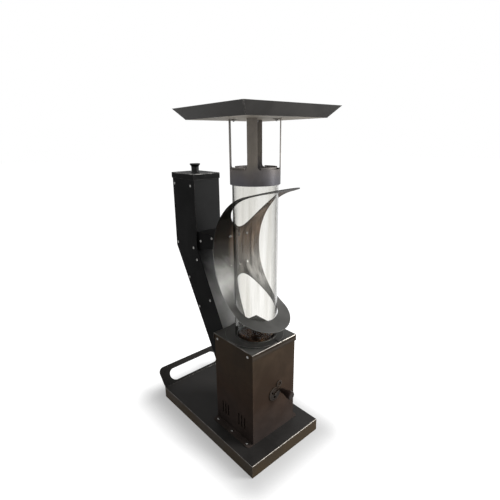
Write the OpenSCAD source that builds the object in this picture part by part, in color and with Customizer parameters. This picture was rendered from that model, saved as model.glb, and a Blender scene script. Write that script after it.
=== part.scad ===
// Outdoor fire column: hopper, chute and burner box on a folded tray, with a glass flame tube,
// a bent flame guard and a square cap.
// The model's origin lies on the floor, in the middle of its outer box. The modules work in the
// column's frame, whose origin is the foot of the tube's axis: +X right, +Y to the hopper, +Z up.

/* [Base tray] */
// Width of the tray
base_w = 334; // [300:1:420]
// Length of the tray from front to back, without the handle
base_len = 570; // [540:1:700]
// Distance from the tube's axis to the front of the tray
base_front = 161; // [130:1:200]
// Height of the tray
base_h = 48; // [36:1:80]
// Sheet thickness of the tray
base_t = 3; // [2:0.5:4]
// Length of the handle's slope
handle_len = 88; // [78:1:120]
// Angle of the handle above level
handle_tilt = 47; // [30:1:65]
// Corner radius of the handle
handle_corner_r = 25; // [10:1:40]
// Length of the finger slot
slot_len = 252; // [150:1:270]
// Height of the finger slot
slot_h = 52; // [36:1:56]
// Distance up the slope from the fold to the middle of the finger slot
slot_rise = 38; // [34:1:46]

/* [Burner box] */
// Width of the box
box_w = 206; // [195:1:240]
// Depth of the box
box_d = 206; // [195:1:240]
// Distance from the tube's axis to the front of the box
box_front = 95; // [88:1:110]
// Height of the box above the tray
box_h = 360.5; // [320:0.5:420]
// Sheet thickness of the box
box_t = 2.5; // [1.5:0.5:3]
// Width of the foot flanges
foot_w = 24; // [20:1:34]
// Corner radius of the foot flanges
foot_r = 10; // [4:1:16]
// Depth of the front panel's side flanges
panel_flange = 14; // [8:1:20]
// Width of a vent slot
vent_w = 6; // [3:0.5:8]
// Height of a vent slot
vent_h = 53; // [30:1:60]
// Height of the vents' middle above the tray
vent_rise = 64.5; // [50:0.5:90]
// Distance from one vent slot to the next
vent_pitch = 16; // [12:1:20]
// Thickness of the box's lid
lid_t = 3; // [2:0.5:4]
// Overhang of the lid past the box
lid_over = 3.5; // [2:0.5:6]
// Height of the lid's turned-down edges
lid_skirt = 21.5; // [20:0.5:25]

/* [Burner] */
// Outer width of the square flame riser
riser_w = 88; // [84:1:91]
// Sheet thickness of the flame riser
riser_t = 2.5; // [2:0.5:4]
// Gap between the fire basket and the riser, each side
basket_gap = 2.5; // [1:0.5:5]
// Height of the fire basket
basket_h = 120; // [90:1:180]
// Sheet thickness of the fire basket
basket_t = 2; // [1.5:0.5:3]
// Height of the burner stand above the tray
stand_h = 55; // [40:1:80]
// Width of the burner stand
stand_w = 150; // [130:1:170]
// Depth of the burner stand
stand_d = 120; // [112:1:140]
// Sheet thickness of the stand and the feed ramp
stand_t = 3; // [2:0.5:4]
// Inner width of the feed window and ramp
feed_w = 64; // [40:1:68]
// Height of the feed window
feed_h = 56; // [40:1:80]

/* [Glass tube] */
// Outer diameter of the glass tube
glass_d = 150; // [140:1:156]
// Wall of the glass tube
glass_t = 5; // [3:0.5:6]
// Length of the glass tube
tube_len = 574.5; // [565:0.5:1300]
// Distance from the lid's edge to the ring that the glass stands on
seat_inset = 1; // [0.5:0.5:6]
// Thickness of that ring
seat_t = 4; // [3:0.5:6]
// Width of the ring's step inside the glass wall, which is turned up as a lip
seat_step = 2.5; // [2:0.5:4]
// Width of the slit through the ring
seat_slit = 5; // [3:0.5:7]

/* [Flame guard] */
// Width of the guard
guard_w = 213; // [200:1:240]
// Sheet thickness of the guard
guard_t = 2; // [1.5:0.5:3]
// Bend radius of the guard's back face
guard_bend_r = 220; // [210:1:230]
// Bend from the guard's middle to its upper leg, in degrees
guard_top_turn = 74.5; // [68:0.5:76]
// Bend from the guard's middle to its lower leg, in degrees
guard_low_turn = 69.5; // [60:0.5:72]
// Distance from the glass to the guard's back face
guard_gap = 23; // [20:1:28]
// Height of the guard's middle above the box's lid
guard_rise = 300.5; // [290:0.5:306]
// Distance from the tube's axis to the centre of the guard's rounded upper end
guard_top_nose = 49; // [40:1:55]
// Distance from the tube's axis to the centre of the guard's rounded lower end
guard_low_nose = 21; // [15:1:30]
// Play between the glass and the guard's lower opening
guard_low_play = 3; // [2.5:0.5:8]
// Play between the glass and the guard's upper opening
guard_top_play = 4; // [2.5:0.5:8]
// Half distance between the guard's two rows of screws
guard_row = 55; // [42:1:60]
// Distance from one guard screw to the next in its row
guard_pitch = 38; // [25:1:42]

/* [Bracket] */
// Width of the bracket
bracket_w = 100; // [90:1:108]
// Sheet thickness of the bracket
bracket_t = 2; // [1.5:0.5:3]
// Height of the bracket's top above the guard's middle
bracket_rise = 42; // [38:1:46]
// Depth of the bracket's cheeks at the hopper
bracket_deep = 74; // [60:1:80]
// Radius of the bracket's rounded nose
bracket_nose_r = 28; // [24:1:34]
// Width of the lip along the bottom of each cheek
bracket_lip = 9; // [6:1:14]
// Length of the inner mount on the hopper
mount_len = 105; // [95:1:115]

/* [Hopper and chute] */
// Width of the hopper
hopper_w = 115; // [108:1:130]
// Depth of the hopper
hopper_d = 146; // [130:1:180]
// Distance from the tube's axis to the front of the hopper
hopper_front = 268; // [260:1:300]
// Height of the hopper's rim above the box's lid
hopper_rise = 554.5; // [515:0.5:635]
// Height of the hopper's front bend above the box's lid
front_bend_rise = 275.5; // [255:0.5:295]
// Height of the hopper's rear bend above the box's lid
rear_bend_rise = 264.5; // [245:0.5:285]
// Distance from the box's top down to the chute's upper edge
chute_drop = 25.5; // [18:0.5:34]
// Height of the chute's lower edge above the tray
chute_rise = 94; // [80:1:110]
// Sheet thickness of hopper and chute
hopper_t = 2; // [1.5:0.5:3]
// Depth of the front plate's side flanges
front_flange = 34; // [30:1:40]
// Depth of the rear plate's side flanges
rear_flange = 24; // [22:1:30]
// Sheet thickness of the hopper's lid
hlid_t = 1.5; // [1:0.5:2]
// Play between the hopper and its lid, each side
hlid_play = 1; // [0.5:0.1:2]
// Height of the hopper lid's skirt
hlid_skirt = 20; // [10:1:24]
// Diameter of the lid's knob
knob_d = 40; // [34:1:46]
// Height of the lid's knob
knob_h = 33; // [26:1:40]

/* [Collar and cap] */
// Play between the glass and the clips inside the collar
clip_play = 1.2; // [0.8:0.1:2]
// Sheet thickness of the clips
clip_t = 2.9; // [2:0.1:3.2]
// Angle that one clip spans
clip_span = 50; // [30:1:60]
// Sheet thickness of the collar
collar_t = 1.6; // [1:0.1:2]
// Height of the collar's band
band_h = 48; // [44:1:60]
// Height of the band's top above the glass
band_over = 8; // [6:1:12]
// Height of the collar's arms above the band
arm_h = 149; // [110:1:200]
// Width of an arm
arm_w = 31; // [24:1:40]
// Radius of the fillets at an arm's root
arm_root_r = 12; // [6:1:16]
// Width of the cap at its bottom
cap_bottom_w = 310; // [260:1:330]
// Width of the cap at its top
cap_top_w = 370; // [350:1:400]
// Height of the cap
cap_h = 34; // [24:1:50]
// Sheet thickness of the cap
cap_t = 2; // [1.5:0.5:3]
// Distance that a flap ends before the cap's corner
cap_slit = 2; // [1:0.5:6]
// Angle at which collar and cap are turned on the glass
cap_set = -3.6; // [-12:0.1:12]

/* [Air damper] */
// Height of the damper's pivot above the tray
damper_rise = 164; // [140:1:200]
// Radius of the damper's disc
damper_r = 26; // [22:1:32]
// Radius of an air hole
air_r = 5; // [3:0.5:6]
// Distance from the pivot to the air holes
air_ring_r = 13; // [12:0.5:15]
// Distance from the pivot to the damper's handle
lever_len = 30; // [26:1:40]
// Angle of the lever above level
lever_turn = 10; // [-8:1:20]
// Distance from the pivot to the eye on the disc
eye_dist = 39; // [36:1:46]
// Angle of the eye above level
eye_turn = 54; // [40:1:70]
// Length of the damper's handle
grip_len = 46; // [36:1:56]
// Radius of the damper's handle at its end
grip_r = 15; // [11:1:18]
// Radius of the damper's pivot
pivot_r = 3; // [2.5:0.5:4]

/* [Fasteners] */
// Radius of a screw's shank
screw_r = 2.4; // [2:0.1:2.5]
// Radius of a screw's domed head
head_r = 5; // [4:0.5:6]
// Height of a screw's domed head
head_h = 3; // [2:0.5:4]
// Distance across a nut's flats
nut_af = 8; // [7:0.5:10]
// Height of a nut
nut_h = 4; // [3:0.5:5]

/* [Hidden] */
$fn = 96;
// Gap where a piece of one body rests on another body
seat = 0.3;
// Gap around a shank in its hole
hole_play = 0.1;
// Running fit of the damper on its pivot
run_fit = 0.06;
// Length by which a cutting tool passes the surface that it cuts
past = 1;

base_rear = base_len - base_front;
box_rear = box_d - box_front;
box_top = base_h + box_h;
lid_top = box_top + lid_t;
inside_x = box_w / 2 - box_t;

glass_r = glass_d / 2;
bore_r = glass_r - glass_t;
seat_r = min(box_w, box_d) / 2 + lid_over - seat_inset;
seat_y = (box_rear - box_front) / 2;
ring_top = lid_top + seat_t;
ring_hole_r = bore_r - seat_step;
glass_low = ring_top + seat;
glass_top = glass_low + tube_len;

stand_top = base_h + stand_h;
riser_top = ring_top - seat;
basket_w = riser_w - 2 * (riser_t + basket_gap);
basket_low = stand_top + seat;
feed_low = stand_top + 9;
ramp_foot = stand_top + 15;
ramp_head = base_h + chute_rise + 8;
mouth_top = box_top - chute_drop - 18;
ramp_wall = 44;

guard_back = glass_r + guard_gap;
guard_y = guard_back - guard_bend_r;
guard_z = lid_top + guard_rise;
guard_leg = 130;
guard_shift = 1.5;
row_turn = asin(guard_row / guard_bend_r);
saddle_low = guard_bend_r + hole_play;
saddle_high = saddle_low + 2.5;
saddle_turn = row_turn + 4.5;

bracket_top = guard_z + bracket_rise;
bracket_tip = guard_back + 2;
bracket_low = bracket_top - bracket_deep;
bracket_tip_low = guard_z + 13;
mount_half = bracket_w / 2 - bracket_t - seat;
near_screw_in = 18;
near_screw_rise = 8;
far_screw_in = 89;
far_screw_rise = 31;
near_screw = [hopper_front - near_screw_in, guard_z + near_screw_rise];
far_screw = [hopper_front - far_screw_in, guard_z + far_screw_rise];

hopper_rear = hopper_front + hopper_d;
hopper_top = lid_top + hopper_rise;
front_bend = [hopper_front, lid_top + front_bend_rise];
rear_bend = [hopper_rear, lid_top + rear_bend_rise];
chute_y = box_rear + seat;
front_end = [chute_y, box_top - chute_drop];
rear_end = [chute_y, base_h + chute_rise];
front_slope = (front_bend - front_end) / norm(front_bend - front_end);
rear_slope = (rear_bend - rear_end) / norm(rear_bend - rear_end);
plate_half = hopper_w / 2 - hopper_t;
// Length by which a bent plate's path passes the chute's end, where the outline cuts it
plate_past = 40;
// Screws of the bent plates: distances in from the plate, above the bend and down the slope
front_screw_in = 22;
front_screw_up = 237;
front_screw_down = 38;
front_screw_low = 203;
rear_screw_in = 14;
rear_screw_up = 250;
rear_screw_bend = 14;
rear_screw_down = 145;
rear_screw_low = 270;
front_screws = [
    front_bend + [front_screw_in, front_screw_up],
    front_bend + [front_screw_in, 0],
    front_bend - front_slope * front_screw_down + inward(front_slope, -front_screw_in),
    front_bend - front_slope * front_screw_low + inward(front_slope, -front_screw_in)
];
rear_screws = [
    rear_bend + [-rear_screw_in, rear_screw_up],
    rear_bend + [-rear_screw_in, rear_screw_bend],
    rear_bend - rear_slope * rear_screw_down + inward(rear_slope, rear_screw_in),
    rear_bend - rear_slope * rear_screw_low + inward(rear_slope, rear_screw_in)
];

clip_r = glass_r + clip_play;
collar_r = clip_r + clip_t + seat + collar_t;
band_top = glass_top + band_over;
band_low = band_top - band_h;
clip_low = band_low + 4;
stop_low = glass_top + seat;
stop_high = stop_low + 3;
upstand_top = band_top + 6;
rest_low = stop_high + seat;
rest_in = clip_r + 0.6;
rest_turn = 10;
cap_low = band_top + arm_h;
cap_top = cap_low + cap_h;
cap_half = cap_bottom_w / 2;
rim_half = cap_top_w / 2;
bolt_r = collar_r - 15;
tab_in = collar_r - 25;

damper_z = base_h + damper_rise;
disc_t = 3;
lever_t = 3;
lever_w = 12;
rod_r = 4;
grip_start = 11;

vent_rear = 59;
vent_front = 33;
vent_groups = [vent_rear, -vent_front];
foot_screw_in = 20;
foot_screw_y = [foot_screw_in - box_front, seat_y, box_rear - foot_screw_in];
foot_screw_x = box_w / 2 + foot_w / 2;
lid_screw_front_in = 24;
lid_screw_rear_in = 17;
lid_screw_drop = 16;
lid_screw_y = [lid_screw_front_in - box_front, box_rear - lid_screw_rear_in];
lid_screw_z = box_top - lid_screw_drop;

cap_reach = rim_half * cos(cap_set) + (rim_half - cap_slit) * abs(sin(cap_set));
rear_reach = base_rear - base_t + handle_len * cos(handle_tilt);
column_y = (cap_reach - rear_reach) / 2;

painted = "#34302c";
hopper_black = "#232222";
guard_steel = "#77716c";
rusty = "#6d5238";
heat_tinted = "#58514d";
bright_steel = "#c4c4c0";
black_plastic = "#171717";

// Geometry helpers
function unit(v) = v / norm(v);
function left_of(v) = [-v[1], v[0]];
function inward(direction, distance) = left_of(direction) * distance;
function corner_inside(p, i, t) =
    let (a = unit(i > 0 ? p[i] - p[i - 1] : p[1] - p[0]))
    let (b = i < len(p) - 1 ? unit(p[i + 1] - p[i]) : a)
    let (m = unit(left_of(a) + left_of(b)))
    p[i] + m * t / (m * left_of(a));

// Sheet bent along the points p, with its thickness t to the left of the way along them
module folded(p, t) {
    polygon(concat(p, [for (i = [len(p) - 1:-1:0]) corner_inside(p, i, t)]));
}

module block(low, high) {
    translate(low) cube(high - low);
}

module both_sides() {
    children();
    mirror([1, 0, 0]) children();
}

// Stands an outline drawn in Y and Z across the column, in the middle or from x0 to x1
module across(w) {
    rotate([90, 0, 90]) linear_extrude(w, center = true) children();
}

module across_from(x0, x1) {
    translate([x0, 0, 0]) rotate([90, 0, 90]) linear_extrude(x1 - x0) children();
}

// Rectangle from the origin with its two far corners rounded
module rounded_end(w, len, r) {
    translate([-w / 2, 0]) square([w, len - r]);
    translate([-w / 2 + r, 0]) square([w - 2 * r, len]);
    for (side = [-1, 1]) translate([side * (w / 2 - r), len - r]) circle(r);
}

// Slot with round ends, its middle at the origin
module stadium(len, h) {
    square([len - h, h], center = true);
    for (side = [-1, 1]) translate([side * (len - h) / 2, 0]) circle(h / 2);
}

module at_column() {
    translate([0, column_y, 0]) children();
}

module at_crown() {
    at_column() rotate([0, 0, cap_set]) children();
}

// Fasteners
// Screw with its head above z = 0 and its shank below
module dome_screw(grip) {
    ball_r = (head_r * head_r + head_h * head_h) / (2 * head_h);
    intersection() {
        translate([0, 0, head_h - ball_r]) sphere(ball_r);
        block([-head_r, -head_r, 0] * 1.2, [head_r * 1.2, head_r * 1.2, head_h * 1.2]);
    }
    translate([0, 0, -grip]) cylinder(r = screw_r, h = grip + head_h / 2);
}

module nut() {
    difference() {
        cylinder(d = nut_af / cos(30), h = nut_h, $fn = 6);
        translate([0, 0, -past]) cylinder(r = screw_r + hole_play / 2, h = nut_h + 2 * past);
    }
}

module screw_hole(depth) {
    translate([0, 0, -depth]) cylinder(r = screw_r + hole_play, h = depth + past);
}

module at_foot_screws(z) {
    for (y = foot_screw_y) for (side = [-1, 1]) translate([side * foot_screw_x, y, z]) children();
}

// Places children on the box's side wall, with their +Z pointing out of the wall
module at_lid_screws() {
    both_sides() for (y = lid_screw_y) {
        translate([box_w / 2, y, lid_screw_z]) rotate([0, 90, 0]) children();
    }
}

// Base: a sheet folded down on all four sides, which stands on its edges
module at_handle() {
    translate([0, base_rear - base_t, base_h - base_t]) rotate([handle_tilt, 0, 0]) children();
}

module tray_shell() {
    x = base_w / 2;
    difference() {
        block([-x, -base_front, 0], [x, base_rear, base_h]);
        block([base_t - x, base_t - base_front, -past], [x - base_t, base_rear - base_t, base_h - base_t]);
    }
}

module base_tray() {
    color(painted) at_column() difference() {
        tray_shell();
        at_foot_screws(base_h) screw_hole(base_t + past);
    }
}

// Carrying handle, welded along the tray's rear fold
module tray_handle() {
    color(painted) at_column() difference() {
        at_handle() linear_extrude(base_t) difference() {
            rounded_end(base_w, handle_len, handle_corner_r);
            translate([0, slot_rise]) stadium(slot_len, slot_h);
        }
        block([-base_w, 0, 0], [base_w, base_rear, base_h]);
    }
}

// Burner box
module box_foot() {
    translate([box_w / 2 - box_t, 0, base_h]) intersection() {
        translate([0, seat_y, 0]) rotate([0, 0, -90]) linear_extrude(box_t)
            rounded_end(box_d, foot_w + box_t, foot_r);
        block([0, -box_front, 0], [foot_w + box_t, box_rear, box_t]);
    }
}

module vents() {
    both_sides() for (middle = vent_groups) for (i = [-1:1]) {
        translate([inside_x - past, middle + i * vent_pitch, base_h + vent_rise])
            rotate([90, 0, 90]) linear_extrude(box_t + 2 * past)
            rotate([0, 0, 90]) stadium(vent_h, vent_w);
    }
}

module burner_box() {
    color(painted) at_column() difference() {
        union() {
            both_sides() block([inside_x, -box_front, base_h], [box_w / 2, box_rear, box_top]);
            block([-box_w / 2, box_rear - box_t, base_h], [box_w / 2, box_rear, box_top]);
            both_sides() box_foot();
        }
        vents();
        at_lid_screws() screw_hole(box_t + past);
        at_foot_screws(base_h + box_t) screw_hole(box_t + past);
        block([-ramp_half(), box_rear - box_t - past, ramp_head],
              [ramp_half(), box_rear + past, mouth_top]);
    }
}

function ramp_half() = feed_w / 2 + 10;

module front_panel() {
    color(painted) at_column() difference() {
        union() {
            block([-inside_x, -box_front, base_h], [inside_x, box_t - box_front, box_top]);
            both_sides() block([inside_x - box_t, -box_front, base_h],
                               [inside_x, panel_flange - box_front, box_top]);
        }
        at_damper() {
            translate([0, 0, -box_t - past])
                cylinder(r = pivot_r + hole_play, h = box_t + 2 * past);
            air_holes(-box_t - past, past);
        }
    }
}

module box_lid() {
    x = box_w / 2 + lid_over;
    front = -box_front - lid_over;
    rear = box_rear + lid_over;
    low = box_top - lid_skirt;
    relief = 9;
    color(painted) at_column() difference() {
        union() {
            block([-x, front, box_top], [x, rear, lid_top]);
            block([-x, front, low], [x, front + lid_t, lid_top]);
            both_sides() block([hopper_w / 2 + 4, rear - lid_t, low], [x, rear, lid_top]);
            both_sides() block([inside_x - lid_t, panel_flange - box_front + 4, low],
                               [inside_x, box_rear - box_t - 3, lid_top]);
        }
        translate([0, 0, box_top - past]) cylinder(r = ring_hole_r + 2, h = lid_t + 2 * past);
        at_lid_screws() screw_hole(box_t + lid_t + past);
        both_sides() for (y = [front, rear - relief]) {
            block([x - lid_t - 1, y, box_top - past], [x - lid_t + 1, y + relief, lid_top + past]);
        }
    }
}

// Ring that the glass stands on: a lip inside the glass and a spigot in the lid's hole. Its disc lies
// in the middle of the lid, and a slit lets it grow with the heat.
module seat_ring() {
    lip_r = bore_r - 1;
    lip_h = 3;
    spigot = 2;
    slit_x = 15;
    color(heat_tinted) at_column() difference() {
        union() {
            translate([0, seat_y, lid_top]) cylinder(r = seat_r, h = seat_t);
            translate([0, 0, lid_top - spigot]) cylinder(r = ring_hole_r + 2 - hole_play, h = spigot + 1);
            translate([0, 0, ring_top - 1]) cylinder(r = lip_r, h = lip_h + 1);
        }
        translate([0, 0, lid_top - spigot - past])
            cylinder(r = ring_hole_r, h = spigot + seat_t + lip_h + 2 * past);
        block([slit_x - seat_slit / 2, -2 * seat_r, lid_top - spigot - past],
              [slit_x + seat_slit / 2, 0, ring_top + lip_h + past]);
    }
}

// Burner
module square_tube(w, t, low, high) {
    difference() {
        block([-w / 2, -w / 2, low], [w / 2, w / 2, high]);
        block([t - w / 2, t - w / 2, low - past], [w / 2 - t, w / 2 - t, high + past]);
    }
}

module flame_riser() {
    flange = 10;
    hole_z = riser_top - 60;
    color(rusty) at_column() difference() {
        union() {
            square_tube(riser_w, riser_t, stand_top, riser_top);
            square_tube(riser_w + 2 * flange, riser_t + flange, stand_top, stand_top + riser_t);
        }
        block([-feed_w / 2, 0, feed_low], [feed_w / 2, riser_w, feed_low + feed_h]);
        for (turn = [0, 90, 180, 270]) rotate([0, 0, turn]) for (x = [-24, 0, 24]) {
            translate([x, -riser_w / 2 + riser_t + past, hole_z]) rotate([90, 0, 0])
                cylinder(r = 3, h = riser_t + 2 * past);
        }
    }
}

module burner_stand() {
    x = stand_w / 2;
    y = stand_d / 2;
    color(rusty) at_column() difference() {
        union() {
            block([-x, -y, stand_top - stand_t], [x, y, stand_top]);
            both_sides() block([x - stand_t, -y, base_h], [x, y, stand_top]);
            both_sides() block([x - stand_t, -y, base_h], [x + 14, y, base_h + stand_t]);
        }
        translate([0, 0, stand_top - stand_t - past]) cylinder(r = 32, h = stand_t + 2 * past);
        both_sides() translate([x + past, 0, base_h + stand_h / 2]) rotate([0, -90, 0])
            linear_extrude(stand_t + 2 * past) rotate([0, 0, 90]) stadium(80, 22);
    }
}

module fire_basket() {
    w = basket_w;
    hole = 3.5;
    color(rusty) at_column() difference() {
        block([-w / 2, -w / 2, basket_low], [w / 2, w / 2, basket_low + basket_h]);
        block([basket_t - w / 2, basket_t - w / 2, basket_low + basket_t],
              [w / 2 - basket_t, w / 2 - basket_t, basket_low + basket_h + past]);
        block([-feed_w / 2, 0, feed_low], [feed_w / 2, w, feed_low + feed_h]);
        for (x = [-24, -8, 8, 24]) for (y = [-24, -8, 8, 24]) {
            translate([x, y, basket_low - past]) cylinder(r = hole, h = basket_t + 2 * past, $fn = 24);
        }
        for (turn = [0, 90, 270]) rotate([0, 0, turn]) for (x = [-24, -8, 8, 24]) {
            for (rise = [16, 32]) translate([x, past + basket_t - w / 2, basket_low + rise])
                rotate([90, 0, 0]) cylinder(r = hole, h = basket_t + 2 * past, $fn = 24);
        }
    }
}

// Ramp from the chute's mouth to the window in the riser
module feed_ramp() {
    half = ramp_half();
    inner_wall = box_rear - box_t;
    top = [inner_wall - stand_t, ramp_head];
    foot = [riser_w / 2 + seat, ramp_foot];
    color(rusty) at_column() {
        across(2 * half) {
            polygon([foot, foot - [0, stand_t], top - [0, stand_t], top]);
            translate([inner_wall - stand_t, ramp_head - 24]) square([stand_t, 24]);
        }
        both_sides() across_from(half - stand_t, half)
            polygon([foot - [0, stand_t], top - [0, stand_t], top + [0, ramp_wall], foot + [0, ramp_wall]]);
    }
}

// Damper
module at_damper() {
    translate([0, -box_front, damper_z]) rotate([90, 0, 0]) children();
}

module air_holes(low, high) {
    for (turn = [30, 150, 270]) rotate([0, 0, turn]) translate([air_ring_r, 0, low])
        cylinder(r = air_r, h = high - low);
}

module damper_disc() {
    eye_r = 13;
    eye_bore = 8;
    color(painted) at_column() at_damper() translate([0, 0, seat]) difference() {
        linear_extrude(disc_t) {
            circle(damper_r);
            rotate([0, 0, eye_turn]) {
                translate([0, -5]) square([eye_dist, 10]);
                translate([eye_dist, 0]) circle(eye_r);
            }
        }
        translate([0, 0, -past]) cylinder(r = pivot_r + run_fit, h = disc_t + 2 * past);
        air_holes(-past, disc_t + past);
        rotate([0, 0, eye_turn]) translate([eye_dist, 0, -past]) cylinder(r = eye_bore, h = disc_t + 2 * past);
    }
}

module damper_lever() {
    rod_end = grip_start + grip_len - 6;
    color(painted) at_column() at_damper() rotate([0, 0, lever_turn]) {
        translate([0, 0, seat + disc_t]) difference() {
            linear_extrude(lever_t) translate([lever_len / 2, 0]) stadium(lever_len + lever_w, lever_w);
            translate([0, 0, -past]) cylinder(r = pivot_r + run_fit, h = lever_t + 2 * past);
        }
        translate([lever_len, 0, seat + disc_t + lever_t / 2])
            cylinder(r = rod_r, h = rod_end - seat - disc_t - lever_t / 2);
    }
}

module damper_knob() {
    color(black_plastic) at_column() at_damper() rotate([0, 0, lever_turn])
        translate([lever_len, 0, grip_start]) rotate_extrude() difference() {
            union() {
                polygon([[0, 0], [9, 0], [9.5, 14], [grip_r, grip_len - 12], [grip_r, grip_len - 4], [0, grip_len - 4]]);
                translate([0, grip_len - 4]) square([grip_r - 4, 4]);
                translate([grip_r - 4, grip_len - 4]) intersection() {
                    circle(4);
                    square(4);
                }
            }
            translate([-past, -past]) square([past + rod_r + hole_play, grip_len - 5]);
        }
}

module damper_pivot() {
    top = seat + disc_t + lever_t + seat;
    head = 6;
    color(bright_steel) at_column() at_damper() {
        translate([0, 0, top]) cylinder(r = head, h = 3);
        translate([0, 0, -box_t - nut_h - 2]) cylinder(r = pivot_r, h = top + box_t + nut_h + 3);
        translate([0, 0, -box_t - nut_h]) cylinder(d = 10 / cos(30), h = nut_h, $fn = 6);
    }
}

// Hopper and chute
module hopper_outline() {
    polygon([
        [hopper_front, hopper_top], front_bend, front_end, rear_end, rear_bend, [hopper_rear, hopper_top]
    ]);
}

module at_hopper_screws(z) {
    for (p = concat(front_screws, rear_screws)) {
        translate([z, p[0], p[1]]) rotate([0, 90, 0]) children();
    }
}

module hopper_side() {
    difference() {
        across_from(plate_half, hopper_w / 2) hopper_outline();
        at_hopper_screws(hopper_w / 2) screw_hole(hopper_t + past);
    }
}

// Bent plate between the sides, with a flange of the given depth along each of them
module hopper_plate(path, flange) {
    difference() {
        union() {
            across(2 * plate_half) intersection() {
                folded(path, hopper_t);
                hopper_outline();
            }
            both_sides() across_from(plate_half - hopper_t, plate_half) intersection() {
                folded(path, flange);
                hopper_outline();
            }
        }
        both_sides() at_hopper_screws(plate_half) screw_hole(hopper_t + past);
    }
}

module hopper_side_left() {
    color(hopper_black) at_column() mirror([1, 0, 0]) hopper_side();
}

module hopper_side_right() {
    color(hopper_black) at_column() hopper_side();
}

module hopper_front_plate() {
    color(hopper_black) at_column() hopper_plate(
        [[hopper_front, hopper_top], front_bend, front_end - front_slope * plate_past], front_flange);
}

module hopper_rear_plate() {
    color(hopper_black) at_column() hopper_plate(
        [rear_end - rear_slope * plate_past, rear_bend, [hopper_rear, hopper_top]], rear_flange);
}

module hopper_lid() {
    grow = hlid_play + hlid_t;
    low = hopper_top + seat - hlid_skirt;
    top = hopper_top + seat + hlid_t;
    x = hopper_w / 2;
    color(hopper_black) at_column() difference() {
        block([-x - grow, hopper_front - grow, low], [x + grow, hopper_rear + grow, top]);
        block([-x - hlid_play, hopper_front - hlid_play, low - past],
              [x + hlid_play, hopper_rear + hlid_play, hopper_top + seat]);
        at_knob() translate([0, 0, -past - hlid_t]) cylinder(r = screw_r + hole_play, h = hlid_t + 2 * past);
    }
}

module at_knob() {
    translate([0, (hopper_front + hopper_rear) / 2, hopper_top + seat + hlid_t]) children();
}

module lid_knob() {
    rim_r = knob_d / 2;
    neck = rim_r - 5.5;
    color(black_plastic) at_column() at_knob() difference() {
        rotate_extrude() {
            polygon([
                [0, 0], [neck + 1, 0], [neck + 1, 2], [neck, 4], [neck, knob_h - 13], [neck + 1.5, knob_h - 9],
                [rim_r - 0.5, knob_h - 5], [rim_r, knob_h - 4], [rim_r, knob_h - 1.5], [rim_r - 1.5, knob_h],
                [0, knob_h]
            ]);
        }
        translate([0, 0, -past]) cylinder(r = screw_r + hole_play / 2, h = 19);
    }
}

module lid_knob_screw() {
    color(bright_steel) at_column() at_knob() translate([0, 0, -hlid_t]) rotate([180, 0, 0]) dome_screw(14);
}

// Bracket
// Region under a level top with a rounded nose, drawn in by inset
module bracket_round(inset) {
    middle = [bracket_tip + bracket_nose_r, bracket_top - bracket_nose_r];
    translate(middle) circle(bracket_nose_r - inset);
    translate([middle[0], bracket_low - 20]) square([hopper_front, bracket_top - inset - bracket_low + 20]);
    translate([bracket_tip + inset, bracket_low - 20])
        square([hopper_front, middle[1] - bracket_low + 20]);
}

// Region above the cheeks' lower edge, raised by lift, up to the hopper and its slope
module bracket_above(lift) {
    difference() {
        polygon([
            [bracket_tip - 5, bracket_tip_low + lift], [hopper_front, bracket_low + lift],
            [hopper_front, bracket_top + 5], [bracket_tip - 5, bracket_top + 5]
        ]);
        hopper_outline();
    }
}

module ring_sector(low, high, half_turn) {
    reach = high * 2;
    intersection() {
        difference() {
            circle(high, $fn = 240);
            circle(low, $fn = 240);
        }
        polygon([[0, 0], reach * [cos(half_turn), -sin(half_turn)], [reach, 0], reach * [cos(half_turn), sin(half_turn)]]);
    }
}

module at_bracket_screws(x) {
    both_sides() for (p = [near_screw, far_screw]) {
        translate([x, p[0], p[1]]) rotate([0, 90, 0]) children();
    }
}

module bracket_mount() {
    color(hopper_black) at_column() difference() {
        union() {
            both_sides() across_from(mount_half - bracket_t, mount_half) intersection() {
                bracket_round(bracket_t + seat);
                bracket_above(bracket_t + 2);
                translate([hopper_front - mount_len, bracket_low]) square([mount_len, bracket_deep]);
            }
            across(2 * mount_half) intersection() {
                bracket_round(bracket_t + seat);
                bracket_above(bracket_t + 2);
                translate([hopper_front - bracket_t, bracket_low]) square([bracket_t, bracket_deep]);
            }
        }
        at_bracket_screws(mount_half) screw_hole(bracket_t + past);
    }
}

// Bracket with a curved saddle that the guard's screws go through
module guard_bracket() {
    half = bracket_w / 2;
    color(hopper_black) at_column() difference() {
        union() {
            across(bracket_w) intersection() {
                difference() {
                    bracket_round(0);
                    bracket_round(bracket_t);
                }
                bracket_above(0);
            }
            both_sides() across_from(half - bracket_t, half) intersection() {
                bracket_round(0);
                bracket_above(0);
            }
            both_sides() across_from(half - bracket_lip, half) intersection() {
                difference() {
                    bracket_above(0);
                    bracket_above(bracket_t);
                }
                bracket_round(0);
            }
            across(bracket_w) translate([guard_y, guard_z]) ring_sector(saddle_low, saddle_high, saddle_turn);
        }
        at_bracket_screws(half) screw_hole(bracket_t + past);
        at_guard_screws() screw_hole(guard_t + 4);
    }
}

// Flame guard
// Places children on the guard's hollow face, with their +Z pointing at the glass. A flat head's rim
// meets the bend a little before its middle does.
module at_guard_screws() {
    hollow_r = guard_bend_r - guard_t;
    head_y = sqrt(hollow_r * hollow_r - head_r * head_r) - 0.01;
    for (turn = [-row_turn, row_turn]) for (i = [-1:1]) {
        translate([i * guard_pitch, guard_y, guard_z]) rotate([turn, 0, 0])
            translate([0, head_y, 0]) rotate([90, 0, 0]) children();
    }
}

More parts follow.
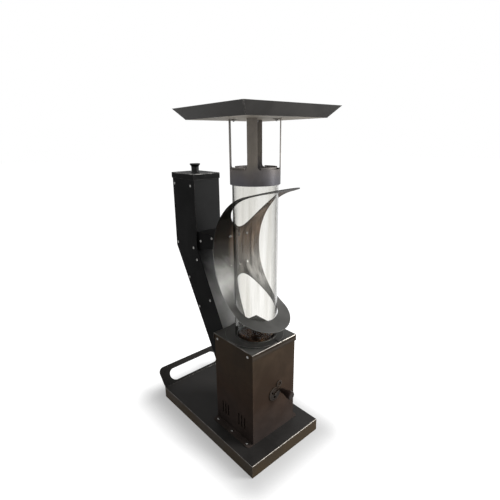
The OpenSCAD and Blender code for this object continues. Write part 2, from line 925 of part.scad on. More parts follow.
// Bend with a straight leg at each end; each leg starts inside the bend and a hair inside its faces
module guard_profile() {
    hair = 0.05;
    lap = 4;
    lean = (guard_top_turn - guard_low_turn) / 2;
    half_turn = (guard_top_turn + guard_low_turn) / 2;
    rotate([0, 0, lean]) {
        ring_sector(guard_bend_r - guard_t, guard_bend_r, half_turn);
        for (side = [-1, 1]) rotate([0, 0, side * half_turn])
            translate([guard_bend_r - guard_t / 2, side * (guard_leg / 2 - lap)])
                square([guard_t - 2 * hair, guard_leg], center = true);
    }
}

// Column with a round front, which cuts the guard's outline below or above its middle
module guard_column(nose, low, high) {
    translate([0, 0, low]) linear_extrude(high - low) {
        translate([0, -nose]) circle(guard_w / 2, $fn = 240);
        translate([-guard_w / 2, -nose]) square([guard_w, nose + guard_back + 20]);
    }
}

module flame_guard() {
    low = guard_z - 1.5 * guard_bend_r;
    high = guard_z + 1.5 * guard_bend_r;
    color(guard_steel) at_column() difference() {
        intersection() {
            across(guard_w) translate([guard_y, guard_z]) guard_profile();
            union() {
                guard_column(guard_low_nose, low, guard_z + past);
                guard_column(guard_top_nose, guard_z, high);
            }
        }
        translate([0, guard_shift, low]) cylinder(r = glass_r + guard_low_play, h = guard_z - low, $fn = 240);
        translate([0, guard_shift, guard_z])
            cylinder(r = glass_r + guard_top_play, h = high - guard_z, $fn = 240);
        at_guard_screws() screw_hole(guard_t + past);
    }
}

module guard_screws() {
    color(bright_steel) at_column() at_guard_screws() dome_screw(guard_t + 9);
}

module guard_nuts() {
    behind = guard_t + saddle_high - guard_bend_r + hole_play + nut_h;
    color(bright_steel) at_column() at_guard_screws() translate([0, 0, -behind]) nut();
}

module bracket_screws() {
    color(bright_steel) at_column() at_bracket_screws(bracket_w / 2) dome_screw(2 * bracket_t + 3);
}

module hopper_screws() {
    color(bright_steel) at_column() both_sides() at_hopper_screws(hopper_w / 2) dome_screw(2 * hopper_t + 2);
}

module box_flange_screws() {
    color(bright_steel) at_column() at_foot_screws(base_h + box_t) dome_screw(box_t + base_t + 7);
}

module box_flange_nuts() {
    color(bright_steel) at_column() at_foot_screws(base_h - base_t - nut_h) nut();
}

module box_lid_screws() {
    color(bright_steel) at_column() at_lid_screws() dome_screw(box_t + lid_t + 3);
}

// Glass tube
module glass_tube() {
    color("#e8ece9", 0.35) at_column() translate([0, 0, glass_low]) difference() {
        cylinder(r = glass_r, h = tube_len);
        translate([0, 0, -past]) cylinder(r = bore_r, h = tube_len + 2 * past);
    }
}

// Crown
// Outline of an arm with its filleted root, across and up. The fillets' circles bite a little into
// the arm and the band, so that they cross them and don't just touch.
module arm_outline() {
    half = arm_w / 2;
    bite = 0.3;
    translate([-half, band_top - 1]) square([arm_w, cap_low - band_top + 1 + past]);
    difference() {
        translate([-half - arm_root_r, band_top - 1]) square([arm_w + 2 * arm_root_r, arm_root_r + 1]);
        for (side = [-1, 1])
            translate([side * (half + arm_root_r - bite), band_top + arm_root_r - bite])
                circle(arm_root_r);
    }
}

// Wedge about the tube's axis, in the direction of +X
module wedge(half_turn, low, high) {
    reach = 200;
    translate([0, 0, low]) linear_extrude(high - low) polygon([
        [0, 0], reach * [cos(half_turn), -sin(half_turn)], reach * [cos(half_turn), sin(half_turn)]
    ]);
}

// Band with four arms; tabs inside the band rest on the clips
module collar() {
    tab_w = arm_w - 5;
    color(heat_tinted) at_crown() {
        for (turn = [0:90:270]) rotate([0, 0, turn]) intersection() {
            rotate_extrude() translate([rest_in, rest_low])
                square([collar_r - collar_t / 2 - rest_in, collar_t]);
            wedge(rest_turn, rest_low - past, rest_low + collar_t + past);
        }
        intersection() {
            difference() {
                translate([0, 0, band_low]) cylinder(r = collar_r, h = cap_low - band_low);
                translate([0, 0, band_low - past]) cylinder(r = collar_r - collar_t, h = cap_low);
            }
            union() {
                translate([0, 0, band_low - past]) cylinder(r = collar_r + 5, h = band_h + past);
                for (turn = [45:90:315]) rotate([0, 0, turn])
                    rotate([90, 0, 90]) linear_extrude(collar_r + 10) arm_outline();
            }
        }
        for (turn = [45:90:315]) rotate([0, 0, turn]) difference() {
            intersection() {
                block([tab_in, -tab_w / 2, cap_low - collar_t], [collar_r, tab_w / 2, cap_low]);
                translate([0, 0, cap_low - 5]) cylinder(r = collar_r - collar_t / 2, h = 10);
            }
            translate([bolt_r, 0, cap_low]) screw_hole(collar_t + past);
        }
    }
}

// Clips between glass and collar: a wall inside the band, a stop on the glass rim and an upstand
module collar_clips() {
    stop_in = bore_r + 0.5;
    color(heat_tinted) at_crown() for (turn = [0:90:270]) rotate([0, 0, turn]) intersection() {
        rotate_extrude() {
            translate([clip_r, clip_low]) square([clip_t, stop_high - clip_low]);
            translate([stop_in, stop_low]) square([clip_r + clip_t - stop_in, stop_high - stop_low]);
            translate([stop_in, stop_low]) square([clip_t, upstand_top - stop_low]);
        }
        wedge(clip_span / 2, clip_low - past, upstand_top + past);
    }
}

module cap_flap() {
    lean = unit([rim_half - cap_half, cap_h]);
    wide = cap_t / lean[1];
    intersection() {
        rotate([90, 0, 0]) linear_extrude(2 * cap_top_w, center = true)
            polygon([[cap_half, cap_low], [rim_half, cap_top], [rim_half - wide, cap_top], [cap_half - wide, cap_low]]);
        rotate([90, 0, 90]) linear_extrude(cap_top_w) polygon([
            [cap_slit - cap_half, cap_low], [cap_half - cap_slit, cap_low],
            [rim_half - cap_slit, cap_top], [cap_slit - rim_half, cap_top]
        ]);
    }
}

module cap() {
    color(heat_tinted) at_crown() difference() {
        union() {
            block([-cap_half, -cap_half, cap_low], [cap_half, cap_half, cap_low + cap_t]);
            for (turn = [0:90:270]) rotate([0, 0, turn]) cap_flap();
        }
        for (turn = [45:90:315]) rotate([0, 0, turn]) translate([bolt_r, 0, cap_low + cap_t])
            screw_hole(cap_t + past);
    }
}

module cap_bolts() {
    color(bright_steel) at_crown() for (turn = [45:90:315]) rotate([0, 0, turn])
        translate([bolt_r, 0, cap_low + cap_t]) dome_screw(cap_t + collar_t + nut_h + 2);
}

module cap_nuts() {
    color(bright_steel) at_crown() for (turn = [45:90:315]) rotate([0, 0, turn])
        translate([bolt_r, 0, cap_low - collar_t - nut_h]) nut();
}

base_tray();
tray_handle();
burner_box();
front_panel();
box_lid();
seat_ring();
flame_riser();
burner_stand();
fire_basket();
feed_ramp();
damper_disc();
damper_lever();
damper_knob();
damper_pivot();
hopper_side_left();
hopper_side_right();
hopper_front_plate();
hopper_rear_plate();
hopper_lid();
lid_knob();
lid_knob_screw();
bracket_mount();
guard_bracket();
flame_guard();
guard_screws();
guard_nuts();
bracket_screws();
hopper_screws();
box_flange_screws();
box_flange_nuts();
box_lid_screws();
glass_tube();
collar();
collar_clips();
cap();
cap_bolts();
cap_nuts();
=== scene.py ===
from math import cos, radians, sin

import bpy
from mathutils import Matrix, Vector


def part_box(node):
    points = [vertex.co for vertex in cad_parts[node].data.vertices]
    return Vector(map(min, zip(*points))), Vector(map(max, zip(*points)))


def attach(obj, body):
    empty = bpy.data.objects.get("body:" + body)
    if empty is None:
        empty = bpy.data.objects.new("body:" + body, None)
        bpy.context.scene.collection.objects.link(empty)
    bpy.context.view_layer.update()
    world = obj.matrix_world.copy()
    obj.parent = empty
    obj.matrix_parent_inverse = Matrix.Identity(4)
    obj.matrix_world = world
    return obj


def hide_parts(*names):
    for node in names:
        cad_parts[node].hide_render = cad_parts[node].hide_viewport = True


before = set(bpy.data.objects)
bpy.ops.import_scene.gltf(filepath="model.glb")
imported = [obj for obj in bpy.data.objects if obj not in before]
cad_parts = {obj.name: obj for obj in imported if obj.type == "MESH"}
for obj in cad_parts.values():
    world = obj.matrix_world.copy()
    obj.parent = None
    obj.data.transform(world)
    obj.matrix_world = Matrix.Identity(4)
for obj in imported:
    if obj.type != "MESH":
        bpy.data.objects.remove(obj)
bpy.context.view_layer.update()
scene = bpy.context.scene
scene.view_settings.view_transform = "Standard"

# Camera
# It stands at chest height before the column's left front edge and looks down a little. The foot of
# the glass tube's axis is the point that it is placed from.
tube_low, tube_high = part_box("glass_tube")
axis_x = (tube_low.x + tube_high.x) / 2
axis_y = (tube_low.y + tube_high.y) / 2
foot = Vector((axis_x, axis_y, 0))
view_turn = radians(-41.61)
view_drop = radians(16.50)
view_roll = radians(-0.56)
camera_away = 1.2269
camera_left = 0.0189
camera_height = 1.0918
back = Vector((sin(view_turn), -cos(view_turn), 0))
aside = Vector((cos(view_turn), sin(view_turn), 0))
ahead = -back * cos(view_drop) - Vector((0, 0, sin(view_drop)))
upward = aside.cross(ahead)
right = aside * cos(view_roll) + upward * sin(view_roll)
upward = upward * cos(view_roll) - aside * sin(view_roll)
camera = bpy.data.objects.new("camera", bpy.data.cameras.new("camera"))
camera.matrix_world = Matrix((right, upward, -ahead)).transposed().to_4x4()
camera.location = foot + back * camera_away - aside * camera_left + Vector((0, 0, camera_height))
camera.data.lens = 27.26
camera.data.sensor_width = 36
scene.collection.objects.link(camera)
scene.camera = camera

# Floor and background
# A pale floor that runs out of sight under a white sky. The floor's own white grows with the
# distance from the tray, so that only the soft shadow close to the object shows.
tray_low, tray_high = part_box("base_tray")


def add_node(tree, kind, **values):
    """A node with its settings and the values of its inputs."""
    made = tree.nodes.new(kind)
    for name, value in values.items():
        if hasattr(made, name):
            setattr(made, name, value)
        else:
            made.inputs[name.replace("_", " ")].default_value = value
    return made


def wire(tree, *pairs):
    for start, end in pairs:
        tree.links.new(start, end)


def any_seen_ray(tree):
    """1 for rays from the camera, from a mirror or through glass, which see plain white."""
    rays = add_node(tree, "ShaderNodeLightPath")
    seen = add_node(tree, "ShaderNodeMath", operation="MAXIMUM")
    seen_all = add_node(tree, "ShaderNodeMath", operation="MAXIMUM")
    wire(tree,
         (rays.outputs["Is Camera Ray"], seen.inputs[0]),
         (rays.outputs["Is Glossy Ray"], seen.inputs[1]),
         (seen.outputs[0], seen_all.inputs[0]),
         (rays.outputs["Is Transmission Ray"], seen_all.inputs[1]))
    return seen_all.outputs[0]


def new_material(name):
    """A material with its node tree and its shader."""
    made = bpy.data.materials.new(name)
    made.use_nodes = True
    return made, made.node_tree, made.node_tree.nodes["Principled BSDF"]


floor_paint, tree, shader = new_material("pale_floor")
shader.inputs["Roughness"].default_value = 0.9
shader.inputs["Specular IOR Level"].default_value = 0.0
shader.inputs["Emission Color"].default_value = (1, 1, 1, 1)
place = add_node(tree, "ShaderNodeTexCoord")
centred = add_node(tree, "ShaderNodeVectorMath", operation="SUBTRACT")
centred.inputs[1].default_value = ((tray_low.x + tray_high.x) / 2,
                                   (tray_low.y + tray_high.y) / 2, 0)
one_side = add_node(tree, "ShaderNodeVectorMath", operation="ABSOLUTE")
beyond = add_node(tree, "ShaderNodeVectorMath", operation="SUBTRACT")
beyond.inputs[1].default_value = ((tray_high.x - tray_low.x) / 2,
                                  (tray_high.y - tray_low.y) / 2, 0)
outside = add_node(tree, "ShaderNodeVectorMath", operation="MAXIMUM")
away = add_node(tree, "ShaderNodeVectorMath", operation="LENGTH")
glow = add_node(tree, "ShaderNodeMapRange", interpolation_type="SMOOTHSTEP",
                From_Max=0.17, To_Min=0.34, To_Max=1.0)
shown_glow = add_node(tree, "ShaderNodeMath", operation="MULTIPLY")
speckle = add_node(tree, "ShaderNodeTexNoise", Scale=3.0, Detail=4.0)
pale = add_node(tree, "ShaderNodeValToRGB")
pale.color_ramp.elements[0].color = (0.40, 0.40, 0.40, 1)
pale.color_ramp.elements[1].color = (0.43, 0.43, 0.43, 1)
wire(tree,
     (place.outputs["Object"], centred.inputs[0]),
     (centred.outputs["Vector"], one_side.inputs[0]),
     (one_side.outputs["Vector"], beyond.inputs[0]),
     (beyond.outputs["Vector"], outside.inputs[0]),
     (outside.outputs["Vector"], away.inputs[0]),
     (away.outputs["Value"], glow.inputs["Value"]),
     (glow.outputs["Result"], shown_glow.inputs[0]),
     (any_seen_ray(tree), shown_glow.inputs[1]),
     (shown_glow.outputs[0], shader.inputs["Emission Strength"]),
     (place.outputs["Object"], speckle.inputs["Vector"]),
     (speckle.outputs["Fac"], pale.inputs["Fac"]),
     (pale.outputs["Color"], shader.inputs["Base Color"]))
bpy.ops.mesh.primitive_plane_add(size=40, location=(0, 0, 0))
floor = bpy.context.object
floor.name = "floor"
floor.data.materials.append(floor_paint)

world = bpy.data.worlds.new("white_sky")
scene.world = world
world.use_nodes = True
tree = world.node_tree
sky = tree.nodes["Background"]
sky.inputs["Color"].default_value = (1, 1, 1, 1)
level = add_node(tree, "ShaderNodeMapRange", To_Min=0.13, To_Max=1.0)
wire(tree,
     (any_seen_ray(tree), level.inputs["Value"]),
     (level.outputs["Result"], sky.inputs["Strength"]))

# Lamps
# Tall soft boxes as in a studio: the main one to the right of the camera, a thin one to the left
# for the long streaks on glass and steel, and one above.
soft_boxes = [
    ("main_light", Vector((1.9, -2.3, 1.7)), 1.2, 2.2, 92.0),
    ("side_light", Vector((-2.6, -0.6, 1.4)), 0.3, 2.2, 2.0),
    ("top_light", Vector((0.2, -0.4, 3.0)), 1.8, 1.8, 34.0),
]
lit_point = Vector((0, 0, 0.6))
for name, place, wide, tall, power in soft_boxes:
    lamp = bpy.data.objects.new(name, bpy.data.lights.new(name, "AREA"))
    lamp.data.shape = "RECTANGLE"
    lamp.data.size = wide
    lamp.data.size_y = tall
    lamp.data.energy = power
    lamp.location = place
    lamp.rotation_euler = (lit_point - place).to_track_quat("-Z", "Y").to_euler()
    scene.collection.objects.link(lamp)

# Base tray
# One folded sheet, 3 mm thick: a shallow tray turned upside down, with a carrying handle welded to
# its rear fold. Its paint is worn off along the front fold, which also carries a painted highlight.
# Its other folds are painted darker, as painted shade, and it is brown on the sides.
tray_top = tray_high.z


def shader_group(name, inputs, outputs):
    """An empty node group, with what goes into it and what it has to put out."""
    group = bpy.data.node_groups.new(name, "ShaderNodeTree")
    for title, value in inputs.items():
        socket = group.interface.new_socket(title, in_out="INPUT",
                                            socket_type="NodeSocketFloat")
        socket.default_value = value
    for title in outputs:
        group.interface.new_socket(title, in_out="OUTPUT", socket_type="NodeSocketFloat")
    given = group.nodes.new("NodeGroupInput").outputs
    put = group.nodes.new("NodeGroupOutput").inputs
    return group, given, put


def use_group(tree, group, **values):
    made = tree.nodes.new("ShaderNodeGroup")
    made.node_tree = group
    for title, value in values.items():
        made.inputs[title.replace("_", " ")].default_value = value
    return made


def set_ramp(ramp, *stops):
    points = ramp.color_ramp.elements
    while len(points) < len(stops):
        points.new(0.5)
    for point, (place, colour) in zip(points, stops):
        point.position = place
        point.color = (*colour, 1)


# Handling marks are the broad smudges that weather and hands leave on any sheet. The group gives
# them as a mask, from 0 for a clean place to 1.
hand_marks, given, put = shader_group("hand_marks", {"Smudge Size": 9.0}, ["Smudge"])
place = add_node(hand_marks, "ShaderNodeTexCoord")
smudge = add_node(hand_marks, "ShaderNodeTexNoise", Detail=5.0, Roughness=0.55, Distortion=0.4)
smudge_range = add_node(hand_marks, "ShaderNodeMapRange", From_Min=0.38, From_Max=0.66)
wire(hand_marks,
     (place.outputs["Object"], smudge.inputs["Vector"]),
     (given["Smudge Size"], smudge.inputs["Scale"]),
     (smudge.outputs["Fac"], smudge_range.inputs["Value"]),
     (smudge_range.outputs["Result"], put["Smudge"]))

# Rolled grain is the fine straight lines that the rolling mill leaves in sheet steel. They run along
# one axis, which the group's three sizes set: a small size is the long way of the lines.
rolled_grain, given, put = shader_group(
    "rolled_grain", {"X Size": 700.0, "Y Size": 700.0, "Z Size": 6.0}, ["Line"])
place = add_node(rolled_grain, "ShaderNodeTexCoord")
sizes = add_node(rolled_grain, "ShaderNodeCombineXYZ")
stretch = add_node(rolled_grain, "ShaderNodeVectorMath", operation="MULTIPLY")
line = add_node(rolled_grain, "ShaderNodeTexNoise", Scale=1.0, Detail=3.0)
wire(rolled_grain,
     (given["X Size"], sizes.inputs["X"]),
     (given["Y Size"], sizes.inputs["Y"]),
     (given["Z Size"], sizes.inputs["Z"]),
     (place.outputs["Object"], stretch.inputs[0]),
     (sizes.outputs["Vector"], stretch.inputs[1]),
     (stretch.outputs["Vector"], line.inputs["Vector"]),
     (line.outputs["Fac"], put["Line"]))

# Heat and light by height is a ramp by height: 0 at the height Low and 1 at High, in soft clouds
# whose share Cloud sets. It gives how far heat has worked on the steel. On the box, the chute, the
# guard and the cap's underside it also carries painted highlight, sheen and reflection.
heat_light_height, given, put = shader_group(
    "heat_light_height", {"Low": 0.0, "High": 1.0, "Cloud": 0.1, "Cloud Size": 7.0}, ["Heat"])
place = add_node(heat_light_height, "ShaderNodeTexCoord")
parts = add_node(heat_light_height, "ShaderNodeSeparateXYZ")
cloud = add_node(heat_light_height, "ShaderNodeTexNoise", Detail=4.0, Distortion=0.6)
height = add_node(heat_light_height, "ShaderNodeMapRange", clamp=False)
middle = add_node(heat_light_height, "ShaderNodeMapRange",
                  From_Min=0.3, From_Max=0.7, To_Min=-1.0, clamp=False)
drift = add_node(heat_light_height, "ShaderNodeMath", operation="MULTIPLY_ADD")
wire(heat_light_height,
     (place.outputs["Object"], parts.inputs["Vector"]),
     (place.outputs["Object"], cloud.inputs["Vector"]),
     (given["Cloud Size"], cloud.inputs["Scale"]),
     (parts.outputs["Z"], height.inputs["Value"]),
     (given["Low"], height.inputs["From Min"]),
     (given["High"], height.inputs["From Max"]),
     (cloud.outputs["Fac"], middle.inputs["Value"]),
     (middle.outputs["Result"], drift.inputs[0]),
     (given["Cloud"], drift.inputs[1]),
     (height.outputs["Result"], drift.inputs[2]),
     (drift.outputs[0], put["Heat"]))

up_grain = {"X_Size": 700.0, "Y_Size": 700.0, "Z_Size": 6.0}
flat_grain = {"X_Size": 6.0, "Y_Size": 700.0, "Z_Size": 700.0}
fine_peel = {"X_Size": 420.0, "Y_Size": 420.0, "Z_Size": 420.0}


def sheet_finish(name, stops, low, high, metal=0.0, specular=0.12, gloss=0.42, dull=0.60,
                 cloud=0.08, grain=None, smudge=9.0, flame=None):
    """Painted or bare sheet steel, coloured by height, duller and lighter where it is smudged.

    Stops are its colours from the height low up to the height high. Flame gives the colours of a
    sheet that a flame has licked, and the two places across x between which the plain colour turns
    into them. Over the licked colours run painted light and dark streaks, which stand for the
    glass's refraction."""
    finish, tree, shader = new_material(name)
    shader.inputs["Metallic"].default_value = metal
    shader.inputs["Specular IOR Level"].default_value = specular
    shader.inputs["Specular Tint"].default_value = (0.3, 0.3, 0.3, 1)
    heated_and_lit = use_group(tree, heat_light_height, Low=low, High=high, Cloud=cloud)
    marks = use_group(tree, hand_marks, Smudge_Size=smudge)
    lines = use_group(tree, rolled_grain, **(grain or fine_peel))
    colour = add_node(tree, "ShaderNodeValToRGB")
    set_ramp(colour, *stops)
    worn = add_node(tree, "ShaderNodeHueSaturation")
    lighter = add_node(tree, "ShaderNodeMapRange", To_Min=0.84, To_Max=1.22)
    shine = add_node(tree, "ShaderNodeMapRange", To_Min=gloss, To_Max=dull)
    bump = add_node(tree, "ShaderNodeBump", Strength=0.10, Distance=0.0003)
    wire(tree,
         (heated_and_lit.outputs["Heat"], colour.inputs["Fac"]),
         (colour.outputs["Color"], worn.inputs["Color"]),
         (marks.outputs["Smudge"], lighter.inputs["Value"]),
         (lighter.outputs["Result"], worn.inputs["Value"]),
         (worn.outputs["Color"], shader.inputs["Base Color"]),
         (marks.outputs["Smudge"], shine.inputs["Value"]),
         (shine.outputs["Result"], shader.inputs["Roughness"]),
         (lines.outputs["Line"], bump.inputs["Height"]),
         (bump.outputs["Normal"], shader.inputs["Normal"]))
    if flame:
        flame_stops, plain_x, licked_x = flame
        licked = add_node(tree, "ShaderNodeValToRGB")
        set_ramp(licked, *flame_stops)
        place = add_node(tree, "ShaderNodeTexCoord")
        parts = add_node(tree, "ShaderNodeSeparateXYZ")
        across = add_node(tree, "ShaderNodeMapRange", From_Min=plain_x, From_Max=licked_x)
        above = add_node(tree, "ShaderNodeMapRange", From_Min=0.10, From_Max=0.28)
        reached = add_node(tree, "ShaderNodeMath", operation="MULTIPLY")
        both = add_node(tree, "ShaderNodeMixRGB")
        # Painted streaks of light and dark, standing for the glass's refraction.
        refraction_streaks = use_group(tree, rolled_grain, X_Size=55.0, Y_Size=55.0, Z_Size=1.5)
        streak = add_node(tree, "ShaderNodeMapRange",
                          From_Min=0.36, From_Max=0.64, To_Min=0.50, To_Max=1.55)
        streaked = add_node(tree, "ShaderNodeHueSaturation")
        wire(tree,
             (place.outputs["Object"], parts.inputs["Vector"]),
             (parts.outputs["X"], across.inputs["Value"]),
             (heated_and_lit.outputs["Heat"], licked.inputs["Fac"]),
             (refraction_streaks.outputs["Line"], streak.inputs["Value"]),
             (licked.outputs["Color"], streaked.inputs["Color"]),
             (streak.outputs["Result"], streaked.inputs["Value"]),
             (heated_and_lit.outputs["Heat"], above.inputs["Value"]),
             (across.outputs["Result"], reached.inputs[0]),
             (above.outputs["Result"], reached.inputs[1]),
             (reached.outputs[0], both.inputs["Fac"]),
             (colour.outputs["Color"], both.inputs["Color1"]),
             (streaked.outputs["Color"], both.inputs["Color2"]),
             (both.outputs["Color"], worn.inputs["Color"]))
    return finish


def worn_highlit_edge(name, paint, metal, share):
    """Edge paint rubbed through to bare steel in patches, for bent and cut edges. Its paint is mostly
    set lighter than the sheet's, a painted highlight along the edge.

    Share is how much of the edge is rubbed: a little at 0, most of it at 1, and none at -1."""
    edge, tree, shader = new_material(name)
    shader.inputs["Specular IOR Level"].default_value = 0.2
    place = add_node(tree, "ShaderNodeTexCoord")
    patch = add_node(tree, "ShaderNodeTexNoise", Scale=38.0, Detail=6.0, Roughness=0.7)
    kept = 0.55 - 0.3 * share
    gone = 0.75 - 0.3 * share
    rubbed = add_node(tree, "ShaderNodeMapRange", From_Min=kept, From_Max=gone)
    colour = add_node(tree, "ShaderNodeValToRGB")
    set_ramp(colour, (0.0, paint), (1.0, metal))
    shine = add_node(tree, "ShaderNodeMapRange", To_Min=0.5, To_Max=0.32)
    wire(tree,
         (place.outputs["Object"], patch.inputs["Vector"]),
         (patch.outputs["Fac"], rubbed.inputs["Value"]),
         (rubbed.outputs["Result"], colour.inputs["Fac"]),
         (colour.outputs["Color"], shader.inputs["Base Color"]),
         (rubbed.outputs["Result"], shader.inputs["Metallic"]),
         (rubbed.outputs["Result"], shine.inputs["Value"]),
         (shine.outputs["Result"], shader.inputs["Roughness"]))
    return edge


def clear_selection():
    for thing in bpy.context.selected_objects:
        thing.select_set(False)


def take(piece):
    clear_selection()
    piece.select_set(True)
    bpy.context.view_layer.objects.active = piece


def select_parts(piece, kind, wanted):
    """Selects the wanted faces or edges of a piece, and leaves it in edit mode."""
    take(piece)
    bpy.ops.object.mode_set(mode="EDIT")
    bpy.ops.mesh.select_all(action="DESELECT")
    bpy.ops.mesh.select_mode(type=kind)
    bpy.ops.object.mode_set(mode="OBJECT")
    parts = piece.data.polygons if kind == "FACE" else piece.data.edges
    for part in parts:
        part.select = wanted(part)
    bpy.ops.object.mode_set(mode="EDIT")


def finish_piece(piece, body, slot, *nodes):
    """The body that a piece rides on, the finish's name, which is not used, and the solids that it
    stands for.
    """
    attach(piece, body)
    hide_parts(*nodes)
    return piece


def smooth_faces(piece, turn):
    """Rounded edges shade smoothly, and flat faces stay flat."""
    take(piece)
    bpy.ops.object.shade_smooth_by_angle(angle=radians(turn))
    even = piece.modifiers.new("even_shading", "WEIGHTED_NORMAL")
    even.keep_sharp = True
    bpy.ops.object.modifier_apply(modifier="even_shading")


weld_gap = 0.000002
flat_turn = radians(0.3)
same_place = 0.00002


def copy_node(node, piece_name):
    """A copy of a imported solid, its loose triangles merged into whole faces."""
    piece = bpy.data.objects.new(piece_name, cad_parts[node].data.copy())
    scene.collection.objects.link(piece)
    piece.data.materials.clear()
    take(piece)
    bpy.ops.object.mode_set(mode="EDIT")
    bpy.ops.mesh.select_all(action="SELECT")
    bpy.ops.mesh.remove_doubles(threshold=weld_gap)
    bpy.ops.mesh.dissolve_limited(angle_limit=flat_turn)
    bpy.ops.object.mode_set(mode="OBJECT")
    return piece


def round_folds(piece, level, radius, material):
    """Rounds the outer folds of a sheet, which lie round its flat top at this level."""
    points = [vertex.co for vertex in piece.data.vertices]
    low = Vector((min(p.x for p in points), min(p.y for p in points), 0))
    high = Vector((max(p.x for p in points), max(p.y for p in points), 0))

    def on_wall(p, axis):
        return min(abs(p[axis] - low[axis]), abs(p[axis] - high[axis])) < same_place

    def outer_fold(edge):
        a, b = (points[index] for index in edge.vertices)
        at_top = abs(a.z - level) < same_place and abs(b.z - level) < same_place
        return at_top and any(on_wall(a, axis) and on_wall(b, axis)
                              and abs(a[axis] - b[axis]) < same_place for axis in (0, 1))

    select_parts(piece, "EDGE", outer_fold)
    bpy.ops.mesh.bevel(offset=radius, segments=4, affect="EDGES", material=material,
                       clamp_overlap=True)
    bpy.ops.mesh.select_all(action="DESELECT")
    bpy.ops.object.mode_set(mode="OBJECT")


rim_place = 1
lining_place = 2
shaded_edge_place = 3
facing_front = -0.2


def bring_out(node, piece_name, body, slot, finish, rim, edge=0.0005, rounds=2, turn=32,
              fold=None, shaded_fold_finish=None, lining=None, lined=None):
    """A packed sheet piece with its edges broken as the press leaves them, and its finishes.

    Its four finishes are the sheet's own, its edges', its lining's, and that of edges that don't
    face the front. On the tray and the lid that last is a darker copy of the edge finish, painted
    shade against the painted highlight of the front folds. Fold is the level and the radius of its
    outer folds."""
    piece = copy_node(node, piece_name)
    for paint in (finish, rim, lining or finish, shaded_fold_finish or rim):
        piece.data.materials.append(paint)
    for face in piece.data.polygons:
        face.material_index = lining_place if lined and lined(face.center, face.normal) else 0
    if fold:
        round_folds(piece, *fold, rim_place)
    if edge:
        breaking = piece.modifiers.new("broken_edges", "BEVEL")
        breaking.width = edge
        breaking.segments = rounds
        breaking.limit_method = "ANGLE"
        breaking.angle_limit = radians(turn)
        breaking.material = rim_place
        take(piece)
        bpy.ops.object.modifier_apply(modifier="broken_edges")
    # Edges that don't face the front take the shaded copy: painted shade on the tray's and the lid's
    # side folds.
    for face in piece.data.polygons:
        if face.material_index == rim_place and face.normal.y > facing_front:
            face.material_index = shaded_edge_place
    smooth_faces(piece, turn)
    return finish_piece(piece, body, slot, node)


tray_paint = sheet_finish("tray_paint",
                          [(0.0, (0.062, 0.044, 0.024)), (0.94, (0.052, 0.037, 0.022)),
                           (0.97, (0.032, 0.030, 0.0285))],
                          0.0, tray_top - 0.0005, cloud=0.02)
tray_highlit_edge = worn_highlit_edge("tray_highlit_edge", (0.110, 0.098, 0.084), (0.20, 0.185, 0.165), 0.9)
tray_shaded_fold_edge = worn_highlit_edge("tray_shaded_fold_edge", (0.070, 0.065, 0.060), (0.16, 0.15, 0.14), 0.6)
bring_out("base_tray", "tray", "root", "tray_steel", tray_paint, tray_highlit_edge,
          edge=0.0006, fold=(tray_top, 0.002), shaded_fold_finish=tray_shaded_fold_edge)
handle_top = 0.15
handle_paint = sheet_finish("handle_paint",
                            [(0.0, (0.020, 0.019, 0.018)), (1.0, (0.030, 0.027, 0.024))],
                            tray_top, handle_top)
bring_out("tray_handle", "carry_handle", "root", "tray_steel", handle_paint, tray_shaded_fold_edge,
          edge=0.0006)

# Burner box
# A welded shell of 2.5 mm sheet with its front panel set between the side walls. It stands on two
# outward flanges that are screwed to the tray. Years of heat have turned its black paint brown. It
# is also painted lighter towards the top, a painted highlight, and a little lighter at its foot
# than halfway up.
box_low, box_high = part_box("box_lid")
# Brown from heat, and painted lighter towards the top as a painted highlight.
box_paint_lit_top = sheet_finish("box_paint_lit_top",
                         [(0.0, (0.060, 0.0470, 0.0420)), (0.45, (0.052, 0.0335, 0.0240)),
                          (1.0, (0.072, 0.052, 0.035))],
                         tray_top, box_high.z, gloss=0.42, dull=0.56, specular=0.02)
box_edge = worn_highlit_edge("box_edge", (0.105, 0.082, 0.060), (0.20, 0.17, 0.14), 0.2)
# The lid's front fold is rubbed bare and painted light, a painted highlight. Its other folds get a
# darker copy, painted shade.
lid_highlit_edge = worn_highlit_edge("lid_highlit_edge", (0.150, 0.138, 0.120), (0.32, 0.30, 0.27), 1.0)
lid_shaded_fold_edge = worn_highlit_edge("lid_shaded_fold_edge", (0.085, 0.078, 0.068), (0.16, 0.15, 0.14), 0.5)
bring_out("burner_box", "box_shell", "root", "box_steel", box_paint_lit_top, box_edge)
bring_out("front_panel", "box_front", "root", "box_steel", box_paint_lit_top, box_edge)
lid_paint = sheet_finish("lid_paint",
                         [(0.0, (0.044, 0.032, 0.022)), (0.8, (0.046, 0.035, 0.026)),
                          (1.0, (0.075, 0.075, 0.070))],
                         box_low.z, box_high.z, gloss=0.36, dull=0.52, specular=0.10, cloud=0.02)
bring_out("box_lid", "box_lid_plate", "root", "box_steel", lid_paint, lid_highlit_edge,
          edge=0.0005, fold=(box_high.z, 0.0020), shaded_fold_finish=lid_shaded_fold_edge)

